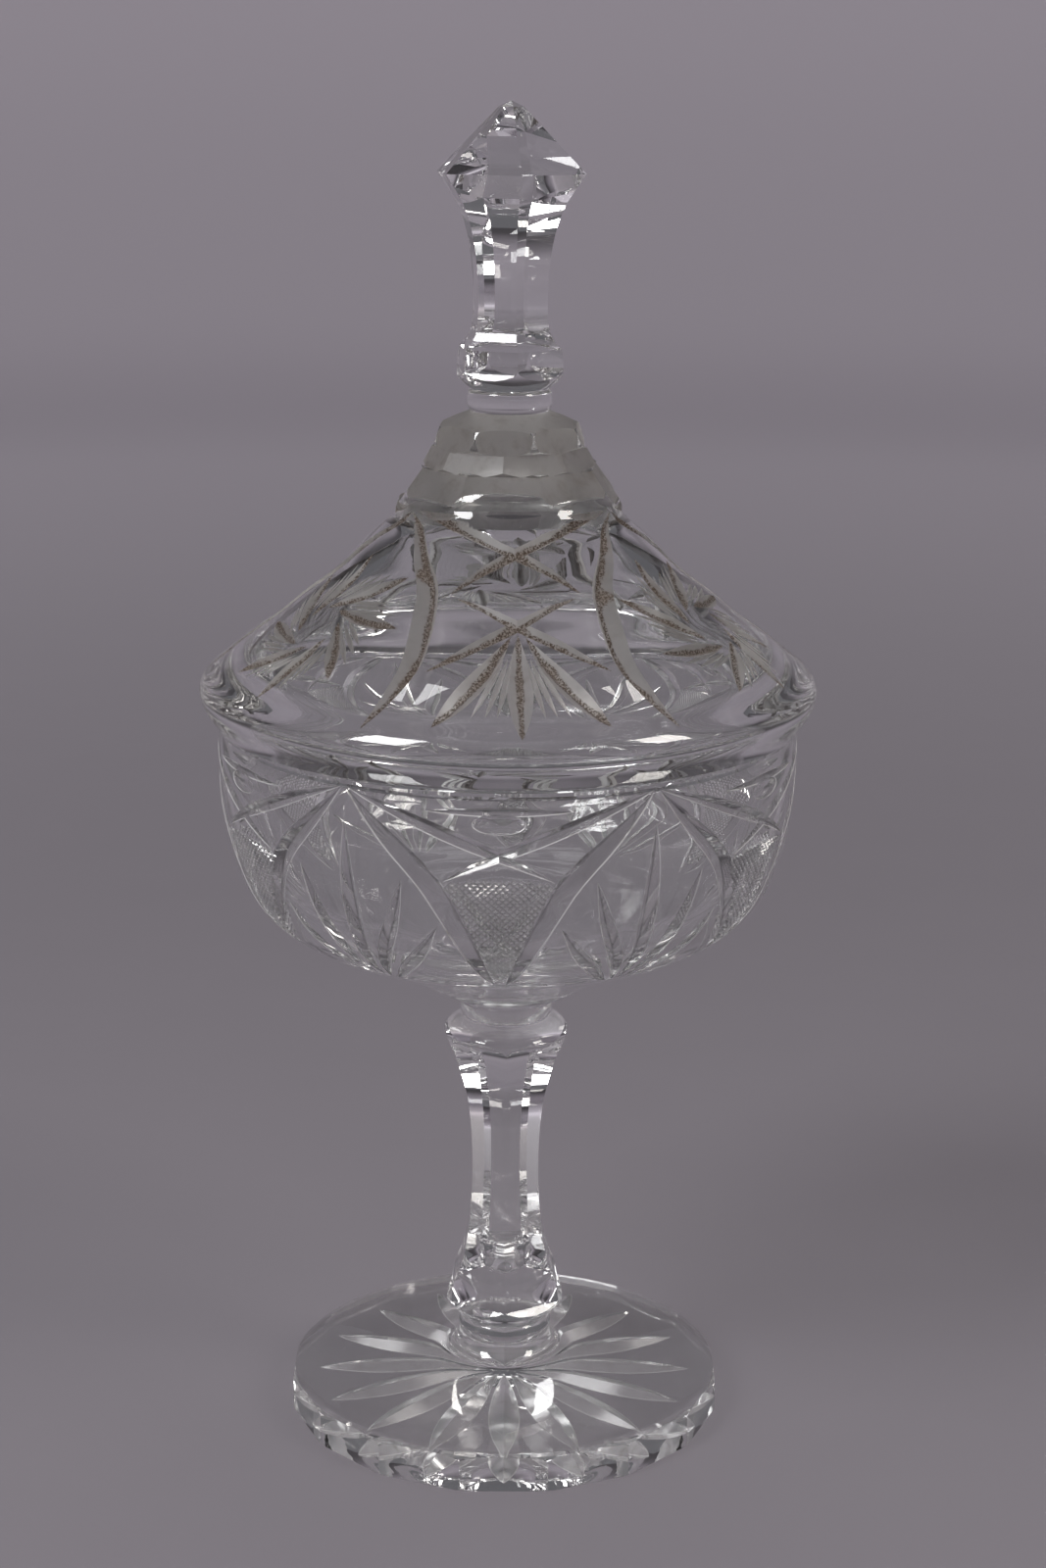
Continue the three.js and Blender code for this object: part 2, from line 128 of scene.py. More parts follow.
class Skin:
    """The uncut outside of a turned piece, from its foot up, with the bottom lines of the cuts made in it."""

    def __init__(self, line):
        self.line = np.array(line)
        self.run = np.concatenate([[0], np.cumsum(np.linalg.norm(np.diff(self.line, axis=0), axis=1))])
        way = np.gradient(self.line, self.run, axis=0)
        self.way = way / np.linalg.norm(way, axis=1)[:, None]
        self.valleys = []

    def run_at(self, z):
        """How far up the skin's line a height lies."""
        return np.interp(z, self.line[:, 1], self.run)

    def radius(self, run):
        return np.interp(run, self.run, self.line[:, 0])

    def on(self, angle, run):
        """Points on the skin and the way out of the glass there."""
        r, z, dr, dz = (np.interp(run, self.run, column) for column in (*self.line.T, *self.way.T))
        out = place(dz, angle, -dr)
        return place(r, angle, z), out / np.linalg.norm(out, axis=-1, keepdims=True)

    def remember(self, low, copies):
        """Keeps the bottom line of a cut and of its copies round the axis, where soil gathers on satin cuts
        and painted shade darkens polished ones.
        """
        for k in range(copies):
            a = math.tau * k / copies
            spin = np.array([[math.cos(a), -math.sin(a), 0], [math.sin(a), math.cos(a), 0], [0, 0, 1]])
            self.valleys.append(low @ spin.T)

    def depth(self, points):
        """How far points lie from the skin."""
        flat = np.stack([np.hypot(points[:, 0], points[:, 1]), points[:, 2]], -1)
        best = np.full(len(flat), DEEPEST)
        for start, end in zip(self.line[:-1], self.line[1:]):
            along = end - start
            t = np.clip((flat - start) @ along / (along @ along), 0, 1)
            best = np.minimum(best, np.linalg.norm(flat - start - t[:, None] * along, axis=1))
        return best

    def from_valley(self, points, depth):
        """How far points lie from the bottom of the nearest cut."""
        bottoms = np.vstack([smooth(line, step=0.4) for line in self.valleys])
        tree = kdtree.KDTree(len(bottoms))
        for number, point in enumerate(bottoms):
            tree.insert(point, number)
        tree.balance()
        near = np.full(len(points), FARTHEST)
        for number in np.flatnonzero(depth < INSIDE):
            near[number] = min(FARTHEST, tree.find(points[number])[2])
        return near


# Meshes


def in_scene(name, data):
    """An object in the scene, from a mesh, a light or a camera."""
    made = bpy.data.objects.new(name, data)
    bpy.context.scene.collection.objects.link(made)
    return made


def make_mesh(name, points, faces):
    """An object in the scene, from points in millimetres and faces."""
    mesh = bpy.data.meshes.new(name)
    mesh.from_pydata([tuple(p) for p in np.asarray(points, float) * MM], [], faces)
    return in_scene(name, mesh)


def turned(name, line, sides):
    """A closed body turned from a line of (radius, height) rows, which starts and ends on the axis."""
    line = np.array(line)
    angle = np.arange(sides) * 360 / sides
    points = [place(0, 0, line[0, 1])[None]]
    points += [place(r, angle, z) for r, z in line[1:-1]]
    points.append(place(0, 0, line[-1, 1])[None])
    rings = len(line) - 2
    faces = []
    for k in range(sides):
        n = (k + 1) % sides
        faces.append((0, 1 + n, 1 + k))
        for i in range(rings - 1):
            low, high = 1 + i * sides, 1 + (i + 1) * sides
            faces.append((low + k, low + n, high + n, high + k))
        last = 1 + (rings - 1) * sides
        faces.append((last + k, last + n, last + sides))
    return make_mesh(name, np.vstack(points), faces)


def lofted(rings):
    """Points and faces of a closed body through rings of the same count."""
    rings = np.array(rings)
    rows, count = rings.shape[:2]
    faces = [tuple(range(count))[::-1], tuple(range((rows - 1) * count, rows * count))]
    for i in range(rows - 1):
        for k in range(count):
            n = (k + 1) % count
            faces.append((i * count + k, i * count + n, (i + 1) * count + n, (i + 1) * count + k))
    return rings.reshape(-1, 3), faces


def joined(name, bodies):
    """One mesh of several loose closed bodies, with every face turned outwards."""
    points, faces, start = [], [], 0
    for body_points, body_faces in bodies:
        points.append(body_points)
        faces += [tuple(start + i for i in face) for face in body_faces]
        start += len(body_points)
    piece = make_mesh(name, np.vstack(points), faces)
    shape = bmesh.new()
    shape.from_mesh(piece.data)
    bmesh.ops.recalc_face_normals(shape, faces=shape.faces)
    shape.to_mesh(piece.data)
    shape.free()
    return piece


def points_of(mesh):
    """The points of a mesh, in millimetres."""
    points = np.zeros(len(mesh.vertices) * 3)
    mesh.vertices.foreach_get("co", points)
    return points.reshape(-1, 3) / MM


def keep_values(mesh, name, values):
    """Keeps a value for each point of a mesh, for its finishes to read."""
    layer = mesh.attributes.new(name, "FLOAT", "POINT")
    layer.data.foreach_set("value", values.astype(np.float32))


def smooth_faces(mesh):
    """Shades every face of a mesh smooth."""
    mesh.polygons.foreach_set("use_smooth", np.ones(len(mesh.polygons), bool))


# Wheel cuts

# The cutters and forms of the piece that is being made
helpers = []


def groove(points, out, depth, bevel, skew=0.0, fullness=0.8, peak=1.0, lift=LIFT):
    """The body of a V groove along points on the glass, deepest near its middle, and its bottom line."""
    along = np.gradient(points, axis=0)
    along /= np.linalg.norm(along, axis=1)[:, None]
    side = np.cross(along, out)
    share = np.sin(np.pi * np.linspace(0, 1, len(points)) ** peak) ** fullness
    deep = (-RUN_OUT + (depth + RUN_OUT) * share)[:, None]
    half = (deep + lift) * bevel
    low = points - out * deep
    lip = points + out * lift
    return lofted(np.stack([low, lip - side * half * (1 - skew), lip + side * half * (1 + skew)], 1)), low


def points_along(length):
    """How many points a cut of a length has."""
    return max(6, int(length / CUT_STEP))


def path(skin, rows, turn=0.0, mirror=1):
    """Angles and runs of a smooth line through [angle, height] rows."""
    rows = np.array(rows, float)
    runs = skin.run_at(rows[:, 1])
    reach = np.radians(rows[:, 0]) * skin.radius(runs)
    if len(rows) > 2:
        t = np.concatenate([[0], np.cumsum(np.hypot(np.diff(reach), np.diff(runs)))])
        both = smooth(np.stack([rows[:, 0], runs, t], 1), step=1.0)
        wanted = np.linspace(0, t[-1], points_along(t[-1]))
        angles = np.interp(wanted, both[:, 2], both[:, 0])
        runs = np.interp(wanted, both[:, 2], both[:, 1])
    else:
        count = points_along(math.hypot(reach[1] - reach[0], runs[1] - runs[0]))
        angles = np.linspace(*rows[:, 0], count)
        runs = np.linspace(*runs, count)
    return turn + mirror * angles, runs


def wheel_tree():
    """Geometry nodes that repeat a cut round the axis and take it out of the blank."""
    tree = bpy.data.node_groups.new("cuts_round_the_axis", "GeometryNodeTree")
    for name, kind, way in (
        ("Blank", "NodeSocketGeometry", "INPUT"),
        ("Cut", "NodeSocketObject", "INPUT"),
        ("Copies", "NodeSocketInt", "INPUT"),
        ("Turn", "NodeSocketFloat", "INPUT"),
        ("Finish", "NodeSocketMaterial", "INPUT"),
        ("Glass", "NodeSocketGeometry", "OUTPUT"),
    ):
        tree.interface.new_socket(name, in_out=way, socket_type=kind)

    def node(kind, **settings):
        made = tree.nodes.new(kind)
        for key, value in settings.items():
            setattr(made, key, value)
        return made

    def link(start, end):
        tree.links.new(start, end)

    given = node("NodeGroupInput").outputs
    cutter = node("GeometryNodeObjectInfo")
    link(given["Cut"], cutter.inputs["Object"])
    places = node("GeometryNodePoints")
    link(given["Copies"], places.inputs["Count"])
    share = node("ShaderNodeMath", operation="DIVIDE")
    link(node("GeometryNodeInputIndex").outputs[0], share.inputs[0])
    link(given["Copies"], share.inputs[1])
    turn = node("ShaderNodeMath", operation="MULTIPLY_ADD")
    link(share.outputs[0], turn.inputs[0])
    turn.inputs[1].default_value = math.tau
    link(given["Turn"], turn.inputs[2])
    angle = node("ShaderNodeCombineXYZ")
    link(turn.outputs[0], angle.inputs["Z"])
    copies = node("GeometryNodeInstanceOnPoints")
    link(places.outputs[0], copies.inputs["Points"])
    link(cutter.outputs["Geometry"], copies.inputs["Instance"])
    link(angle.outputs[0], copies.inputs["Rotation"])
    real = node("GeometryNodeRealizeInstances")
    link(copies.outputs[0], real.inputs[0])
    finish = node("GeometryNodeSetMaterial")
    link(real.outputs[0], finish.inputs["Geometry"])
    link(given["Finish"], finish.inputs["Material"])
    cut = node("GeometryNodeMeshBoolean", operation="DIFFERENCE", solver="MANIFOLD")
    link(given["Blank"], cut.inputs["Mesh 1"])
    link(finish.outputs[0], cut.inputs["Mesh 2"])
    link(cut.outputs["Mesh"], node("NodeGroupOutput").inputs[0])
    return tree


WHEEL = wheel_tree()
SOCKETS = {item.name: item.identifier for item in WHEEL.interface.items_tree if item.in_out == "INPUT"}


def cut_away(piece, cutter, copies, finish, turn=0.0):
    """Takes copies of a cutter round the axis out of a piece."""
    step = piece.modifiers.new(cutter.name, "NODES")
    step.node_group = WHEEL
    step[SOCKETS["Cut"]] = cutter
    step[SOCKETS["Copies"]] = copies
    step[SOCKETS["Turn"]] = math.radians(turn)
    step[SOCKETS["Finish"]] = finish
    cutter.hide_render = True
    helpers.append(cutter)


def kept_inside(piece, form):
    """Keeps only what of a piece lies inside a form."""
    step = piece.modifiers.new(form.name, "BOOLEAN")
    step.operation = "INTERSECT"
    step.solver = "MANIFOLD"
    step.object = form
    form.hide_render = True
    helpers.append(form)


def applied(piece):
    """Turns a piece with its cuts into a plain mesh, and removes the cutters."""
    graph = bpy.context.evaluated_depsgraph_get()
    mesh = bpy.data.meshes.new_from_object(piece.evaluated_get(graph))
    piece.modifiers.clear()
    piece.data = mesh
    for helper in helpers:
        bpy.data.objects.remove(helper)
    helpers.clear()


def fuse(mesh, points, joints):
    """Gives the faces that lie in a joint of (height, radius) the joints' own finish."""
    mesh.materials.append(fused)
    slot = len(mesh.materials) - 1
    for height, radius in joints:
        for face in mesh.polygons:
            corners = points[list(face.vertices)]
            flat = np.all(np.abs(corners[:, 2] - height) < CLOSE)
            if flat and np.all(np.hypot(*corners[:, :2].T) < radius + CLOSE):
                face.material_index = slot
                face.use_smooth = False


def finished(piece, joints, skin=None, crease=CREASE):
    """Smooths a piece but for its crisp edges, and keeps for a skin how deep the cuts in it are."""
    mesh = piece.data
    smooth_faces(mesh)
    mesh.set_sharp_from_angle(angle=math.radians(crease))
    points = points_of(mesh)
    fuse(mesh, points, joints)
    if skin is not None:
        depth = skin.depth(points)
        keep_values(mesh, "depth", depth)
        keep_values(mesh, "from_valley", skin.from_valley(points, depth))
    return piece


# Finishes


class Number:
    """A number or colour in a finish's node tree, with arithmetic for numbers."""

    def __init__(self, finish, socket):
        self.finish = finish
        self.socket = socket

    def maths(self, operation, *values, clamp=False):
        return self.finish.node("ShaderNodeMath", {"operation": operation, "use_clamp": clamp}, values)

    def __add__(self, other):
        return self.maths("ADD", self, other)

    def __sub__(self, other):
        return self.maths("SUBTRACT", self, other)

    def __rsub__(self, other):
        return self.maths("SUBTRACT", other, self)

    def __mul__(self, other):
        return self.maths("MULTIPLY", self, other)

    def __truediv__(self, other):
        return self.maths("DIVIDE", self, other)

    def held(self):
        """The number, held between 0 and 1."""
        return self.maths("ADD", self, 0.0, clamp=True)

    def rises(self, start, end):
        """0 at start and 1 at end, smooth between and held beyond both. Start may be the higher one."""
        settings = {"interpolation_type": "SMOOTHSTEP"}
        low, high, first, last = (start, end, 0.0, 1.0) if start < end else (end, start, 1.0, 0.0)
        return self.finish.node("ShaderNodeMapRange", settings, (self, low, high, first, last))

    __radd__ = __add__
    __rmul__ = __mul__


# Sockets of a Mix node for colours
MIX_SHARE, MIX_FIRST, MIX_SECOND, MIX_COLOUR = 0, 6, 7, 2


class Finish:
    """A material built from nodes, one call for each node."""

    def __init__(self, name):
        self.material = bpy.data.materials.new(name)
        self.material.use_nodes = True
        self.tree = self.material.node_tree
        self.tree.nodes.clear()
        self.place = self.node("ShaderNodeTexCoord", output="Object")

    def node(self, kind, settings=(), values=(), output=0):
        """A node with its settings and the values or links of its sockets, as the number it gives."""
        made = self.tree.nodes.new(kind)
        for key, value in dict(settings).items():
            setattr(made, key, value)
        named = values.items() if isinstance(values, dict) else enumerate(values)
        for key, value in named:
            if isinstance(value, Number):
                self.tree.links.new(value.socket, made.inputs[key])
            else:
                made.inputs[key].default_value = value
        return Number(self, made.outputs[output]) if made.outputs else None

    def noise(self, size, detail=3.0, roughness=0.55):
        """Noise with spots of about that many millimetres."""
        values = {"Vector": self.place, "Scale": 1 / (size * MM), "Detail": detail, "Roughness": roughness}
        return self.node("ShaderNodeTexNoise", values=values)

    def layer(self, name):
        """What keep_values kept for each point."""
        return self.node("ShaderNodeAttribute", {"attribute_name": name}, output="Fac")

    def blend(self, share, first, second):
        """Two colours mixed by a share."""
        values = {MIX_SHARE: share, MIX_FIRST: first, MIX_SECOND: second}
        return self.node("ShaderNodeMix", {"data_type": "RGBA"}, values, MIX_COLOUR)

    def bump(self, height, strength, distance):
        """A normal bent by a height, over a distance in millimetres."""
        values = {"Strength": strength, "Distance": distance * MM, "Height": height}
        return self.node("ShaderNodeBump", values=values)

    def surface(self, **values):
        """Glass or a solid surface, with a socket's name for each value."""
        named = {key.replace("_", " "): value for key, value in values.items()}
        return self.node("ShaderNodeBsdfPrincipled", values=named)

    def over(self, share, below, above):
        """A share of one shader over another."""
        return self.node("ShaderNodeMixShader", values=(share, below, above))

    def lets_light_by(self, shader, share):
        """Lets a share of the light past for shadows, which shadow rays can't find through bent glass."""
        shadow = self.node("ShaderNodeLightPath", output="Is Shadow Ray")
        clear = self.node("ShaderNodeBsdfTransparent", values=((share, share, share, 1),))
        return self.over(shadow, shader, clear)

    def done(self, shader):
        self.node("ShaderNodeOutputMaterial", values={"Surface": shader})
        return self.material


LEAD_CRYSTAL = 1.54
CLEAR = (0.985, 0.99, 0.988, 1)
VEILED = (0.965, 0.972, 0.975, 1)
SHADED = (0.74, 0.735, 0.745, 1)
# Near-black painted shade, laid in the hollows and along the bottom lines of polished cuts
VALLEY_SHADE_GREY = (0.05, 0.047, 0.05, 1)
# The pale of ground glass, also painted as a highlight along the edges of cuts
PALE_GROUND_AND_HIGHLIGHT = (0.66, 0.65, 0.66, 1)
GROUND_GREY = (0.24, 0.23, 0.22, 1)
WARM_GREY = (0.26, 0.245, 0.235, 1)
GRIME = (0.045, 0.028, 0.018, 1)
PALE_GRIME = (0.115, 0.085, 0.062, 1)
SATIN_TINTS = ((0.62, 0.595, 0.58, 1), (0.52, 0.495, 0.475, 1))
# The satin tints darkened, as painted shade on the ground flats, leaves and crown of the neck
SHADED_SATIN_TINTS = ((0.425, 0.40, 0.38125, 1), (0.40, 0.375, 0.355, 1))

# What a shadow keeps of the light that falls through polished and through ground glass
POLISHED_SHADOW = 0.88
SATIN_SHADOW = 0.55


def polished_crystal(name, tint=None, bloom=0.0, haze=0.02, ripple=0.05, milk=0.0, edge=0.0, valley_shade=0.0,
                     hollow_shade=0.0):
    """Polished glass: a faint unevenness of its faces, thin films of handling, the bloom of faces less
    polished, a painted highlight along the edges of cuts in the pale of ground glass, and painted shade in the
    hollows of some cuts and along the bottom lines of others."""
    f = Finish(name)
    film = f.noise(26, 4).rises(0.50, 0.72)
    fine = f.noise(3.5, 2).rises(0.45, 0.75)
    glass = f.surface(
        Base_Color=tint or f.blend(film * 0.6, CLEAR, VEILED),
        Roughness=bloom + film * fine * haze,
        IOR=LEAD_CRYSTAL,
        Transmission_Weight=1.0,
        Normal=f.bump(f.noise(14, 1.5), ripple, 1.0),
    )
    if milk:
        ground = f.surface(Base_Color=f.blend(fine, PALE_GROUND_AND_HIGHLIGHT, GROUND_GREY), Roughness=0.6)
        share = milk * (fine * 0.5 + 0.75)
        # A pale band just inside the edges of a cut is a painted highlight
        if edge:
            share = share + f.layer("depth").rises(0.30, 0.08) * (fine * 0.5 + 0.5) * edge
        glass = f.over(share.held(), glass, ground)
    # The deepest ground between the hatch's pyramids is darkened as painted shade
    if hollow_shade:
        low = f.layer("depth").rises(0.38, 0.72)
        glass = f.over(low * hollow_shade, glass, f.surface(Base_Color=VALLEY_SHADE_GREY, Roughness=0.5))
    # A dark line along the bottom of each polished cut is painted shade
    if valley_shade:
        bottom = f.layer("from_valley").rises(0.45, 0.12) * (fine * 0.4 + 0.6)
        glass = f.over(bottom * valley_shade, glass, f.surface(Base_Color=VALLEY_SHADE_GREY, Roughness=0.5))
    return f.done(f.lets_light_by(glass, POLISHED_SHADOW))


def satin_cut(name, tints=SATIN_TINTS, soil=1.0, milk=0.16, stain=0.12):
    """Cuts left as the wheel leaves them: ground grey glass, with brown soil along their bottoms."""
    f = Finish(name)
    across = f.layer("from_valley")
    grain = f.noise(0.35, 2)
    patch = f.noise(9, 3)
    specks = f.noise(0.5, 3, 0.8).rises(0.47, 0.53)
    stains = f.noise(4.5, 4).rises(0.46, 0.8)
    width = 1.0 + patch.rises(0.35, 0.7)
    line = (1 - across / width).held()
    dirt = (line.rises(0.0, 0.45) * specks * 1.1 + line * 0.35) * soil
    veil = across.rises(3.5, 0.0) * patch.rises(0.3, 0.8) * (0.3 * soil) + stains * stain
    glass = f.surface(
        Base_Color=f.blend(patch * 0.7, *tints),
        Roughness=0.46 + patch * 0.12,
        IOR=LEAD_CRYSTAL,
        Transmission_Weight=1.0,
        Normal=f.bump(grain, 0.35, 0.12),
    )
    ground = f.surface(Base_Color=f.blend(patch, GROUND_GREY, WARM_GREY), Roughness=0.7)
    soiled = f.surface(Base_Color=f.blend(specks, PALE_GRIME, GRIME), Roughness=0.85)
    satin = f.over(milk + grain * 0.08, glass, ground)
    return f.done(f.lets_light_by(f.over((dirt + veil).held(), satin, soiled), SATIN_SHADOW))


def joint_glass(name):
    """The hidden faces where two pieces were fused, which light crosses without bending."""
    f = Finish(name)
    tone = f.blend(f.noise(5) * 0.02, (1, 1, 1, 1), CLEAR)
    glass = f.surface(Base_Color=tone, Roughness=0.0, IOR=1.0, Transmission_Weight=1.0)
    return f.done(f.lets_light_by(glass, 1.0))


crystal = polished_crystal("polished_crystal")
cut_face = polished_crystal("polished_cut", SHADED, bloom=0.06, haze=0.06, ripple=0.03, milk=0.05, edge=0.9,
                            valley_shade=0.55)
hatch_face = polished_crystal("hatched_field", bloom=0.04, haze=0.05, ripple=0.03, milk=0.08, edge=0.6,
                              hollow_shade=0.4)
star_face = polished_crystal("foot_star", bloom=0.11, haze=0.05, ripple=0.03, milk=0.16, edge=0.5)
satin = satin_cut("satin_cut")
# The neck's ground glass, darkened by its tints as painted shade
satin_plain = satin_cut("ground_facet", SHADED_SATIN_TINTS, soil=0.12, milk=0.12, stain=0.34)
fused = joint_glass("fused_joint")


# Outlines, as rows of (radius, height)

bowl_outside = smooth([
    (13.2, 119.5), (17.7, 121.6), (26, 126.5), (38, 132.4), (50.3, 138.1), (58.5, 141.6), (64.1, 145.6),
    (68, 149.6), (71, 154.2), (73.9, 161.8), (75.8, 168.9), (77, 175.3), (77.6, 185.5), (77.5, 195.6),
    (77.2, 197.3),
], 1.6)
bowl_rim = [(76.7, 197.9), (76.0, BOWL_RIM), (72.6, BOWL_RIM), (71.7, 197.8)]
bowl_inside = smooth([
    (71.2, 196.6), (71.6, 185.5), (71.0, 175.6), (69.9, 169.8), (68.1, 163.6), (65.4, 156.6), (62.6, 152.4),
    (58.8, 148.9), (54, 146.2), (47.8, 143.5), (35.5, 137.8), (23.4, 131.9), (15, 130.8), (0, 130.5),
], 2.2)
cover_flange = [
    (67.7, 194.2), (68.1, 193.8), (70.3, 193.8), (70.7, 194.2), (70.7, COVER_SEAT), (77.8, COVER_SEAT),
]
cover_dome = smooth([
    (78.3, 198.9), (79.4, 200.4), (81.6, 203.8), (82.4, 206.6), (82.5, 208.1), (82.0, 209.8), (80.8, 211.4),
    (76.3, 215.1), (70, 220.1), (61.4, 226.2), (53.9, 232.5), (46.7, 237.9), (43.0, 241.2), (39.3, 245.3),
    (34.9, 249.6), (31.6, 252.4), (30.2, 254.2), (29.7, 256.4), (28.6, 258.9),
], 1.6)
cover_neck = smooth([
    (28.5, 260.2), (27.7, 262.0), (25.7, 264.8), (22.3, 268.4), (20.6, 272), (19.7, 276), (19.0, 277.3),
], 1.5)

# The top of the neck is ground from CROWN_FOOT up
CROWN_FOOT = 277.2
cover_crown = [(17.4, 278.0), (14.4, 279.4), (12.2, 280.2), (11.1, 280.7)]
cover_inside = smooth([
    (0, 265), (7, 264.4), (11.5, 262.5), (15.5, 259), (20, 254), (26, 248), (32.5, 242), (40, 235.2),
    (48, 228.6), (56, 221.7), (62, 215.8), (65.6, 210.5), (67.2, 205.6), (67.7, 200.5),
], 2.2)
FOOT_RADIUS = 60.6
FOOT_NECK = 12.8
foot_side = [(60.3, 0), (FOOT_RADIUS, 0.3), (FOOT_RADIUS, 8.7)]
foot_top = smooth([
    (FOOT_RADIUS, 8.7), (60.3, 9.3), (59.6, 9.8), (58.2, 10.1), (55, 10.3), (46, 10.8), (34.4, 11.6),
    (27, 12.3), (21.8, 13.0), (18.0, 14.1), (15.2, 15.8), (13.6, 17.6), (12.9, 19.2),
], 1.0)
stem_foot_round = smooth([
    (12.3, 25.3), (14.1, 27.0), (16.1, 29.2), (17.3, 31.6), (17.6, 34.0), (17.6, 38),
], 0.6)
stem_top_round = smooth([
    (17.3, 105), (17.5, 108), (17.3, 110), (16.2, 111.9), (14.4, 113.2), (12.3, 114.0),
], 0.6)
stem_flutes = [
    [(23.0, 24), (17.4, 31.6)],
    smooth([(17.4, 31.6), (17.0, 34.6), (16.0, 38)], 1.0),
    smooth([(16.0, 38), (13.9, 42.4), (12.6, 47.5), (11.3, 56.6), (10.6, 71), (10.9, 80.6), (12.5, 92.7),
            (14.6, 100), (17.3, 107.2), (21.5, 112.4), (24, 115)], 1.2),
]
finial_round = smooth([(10.5, 286.9), (12.4, 288.6), (14.0, 290.4), (14.9, 292.4), (15.1, 296.8)], 0.6)
finial_flutes = [
    [(17.8, 286), (14.9, 291.6)],
    smooth([(14.9, 291.6), (14.9, 294.4), (14.4, 297.4)], 1.0),
    smooth([(14.4, 297.4), (12.4, 299.4), (11.2, 301.6), (10.6, 305), (10.5, 310), (10.7, 315.6),
            (11.5, 322.6), (13.1, 329.2), (15.2, 334.2)], 1.0),
    smooth([(15.2, 334.2), (17.8, 338.0), (20.8, 342)], 1.0),
    [(20.8, 342), (3.4, 358.5)],
]

# The finial's pointed head is cut from a wider and taller blank
finial_blank = [(24, 300), (24, 362), (0, 362)]

# Flat sides of the stem and of the finial, and how far the finial is turned
FLUTES = 6
FINIAL_TURN = 8

# How far a collar's side stands back from its radius, by the share of its height
COLLAR_EDGE = 0.7
collar_side = ((COLLAR_EDGE, 0), (0.25, 0.1), (0, 0.3), (0, 0.7), (0.25, 0.9), (COLLAR_EDGE, 1))

bowl_skin = Skin(bowl_outside)
cover_skin = Skin(np.vstack([cover_dome, cover_neck]))


# Pieces


def chain(parts):
    """One line of rows through several that share their ends."""
    return np.vstack([parts[0][:1], *[np.array(part)[1:] for part in parts]])


def flat_sided(name, rows, sides, turn, tip=None):
    """A body with flat sides, from rows of (corner radius, height), and with a point where a tip is given."""
    angle = turn + np.arange(sides) * 360 / sides
    rings = [place(r, angle, z) for r, z in rows]
    points, faces = lofted(rings)
    if tip is not None:
        first = len(points) - sides
        faces = [face for face in faces if len(face) == 4 or face[0] < first]
        points = np.vstack([points, place(0, 0, tip)[None]])
        faces += [(first + k, first + (k + 1) % sides, first + sides) for k in range(sides)]
    return joined(name, [(points, faces)])


def blank_finishes(piece, *cuts):
    """Clear crystal all over, with a place kept for the finishes of the cuts to come."""
    for finish in (crystal, *cuts):
        piece.data.materials.append(finish)


def wheel_pass(piece, skin, name, rows, depth, bevel, copies, turn, finish, mirror=1, skew=0.0, soiled=True,
               **form):
    """One kind of cut along [angle, height] rows, repeated round a piece."""
    points, out = skin.on(*path(skin, rows, turn=turn, mirror=mirror))
    body, low = groove(points, out, depth, bevel, skew=mirror * skew, **form)
    # The bottom line is kept for brown soil on satin cuts and for painted shade on polished ones
    if soiled:
        skin.remember(low, copies)
    cut_away(piece, joined(name, [body]), copies, finish)


# The foot's flat panels, and the star of rays cut into its underside, in sets that don't overlap
FOOT_PANELS = 16
FOOT_RAYS = 16
FOOT_RAY_SETS = 4
FOOT_RAY_REACH = (3, 52.5)


def foot():
    line = [(0, 0), (FOOT_JOINT, 0), *foot_side, *foot_top[1:], (FOOT_NECK, FOOT_TOP), (FOOT_JOINT, FOOT_TOP),
            (0, FOOT_TOP)]
    piece = turned("foot_glass", line, SIDES_FOOT)
    blank_finishes(piece, star_face)
    panels = [(FOOT_RADIUS, -5), (FOOT_RADIUS, 30)]
    kept_inside(piece, flat_sided("foot_panels", panels, FOOT_PANELS, 180 / FOOT_PANELS))
    ray = place(np.linspace(*FOOT_RAY_REACH, 28), 0.0, 0.0)
    down = np.broadcast_to((0.0, 0.0, -1.0), ray.shape)
    body = groove(ray, down, depth=3.2, bevel=1.35, peak=1.25, lift=1.0)[0]
    for k in range(FOOT_RAY_SETS):
        cutter = joined(f"foot_ray_{k}", [body])
        cut_away(piece, cutter, FOOT_RAYS // FOOT_RAY_SETS, star_face, turn=k * 360 / FOOT_RAYS)
    applied(piece)
    # The rays' edges lie in the underside, so a point's depth in them is its height
    keep_values(piece.data, "depth", points_of(piece.data)[:, 2])
    return finished(piece, [(FOOT_TOP, FOOT_JOINT)])


def collar(node):
    """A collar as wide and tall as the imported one, but for a hair between it and its neighbours."""
    radius = round(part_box(node)[1].x / MM, 2)
    base, top = level(node, 0) + HAIR, level(node, 1) - HAIR
    line = smooth([(radius - back, base + share * (top - base)) for back, share in collar_side], 0.4)
    piece = turned(f"{node}_glass", [(0, base), *line, (0, top)], SIDES_SMALL)
    blank_finishes(piece)
    joint = radius - COLLAR_EDGE
    return finished(piece, [(base, joint), (top, joint)])


def stem():
    line = [(0, STEM_BASE), (STEM_FOOT_JOINT, STEM_BASE), *stem_foot_round, *stem_top_round,
            (STEM_TOP_JOINT, STEM_TOP), (0, STEM_TOP)]
    piece = turned("stem_glass", line, SIDES_SMALL)
    blank_finishes(piece)
    kept_inside(piece, flat_sided("stem_flutes", chain(stem_flutes), FLUTES, 0))
    applied(piece)
    return finished(piece, [(STEM_BASE, STEM_FOOT_JOINT), (STEM_TOP, STEM_TOP_JOINT)], crease=CREASE_FLAT)


def finial():
    line = [(0, FINIAL_BASE), (FINIAL_JOINT, FINIAL_BASE), *finial_round, *finial_blank]
    piece = turned("finial_glass", line, SIDES_SMALL)
    blank_finishes(piece)
    kept_inside(piece, flat_sided("finial_flutes", chain(finial_flutes), FLUTES, FINIAL_TURN, FINIAL_TIP))
    applied(piece)
    return finished(piece, [(FINIAL_BASE, FINIAL_JOINT)], crease=CREASE_FLAT)


# The sides of a panel, as the sign of their angles
HANDS = ((-1, "left"), (1, "right"))

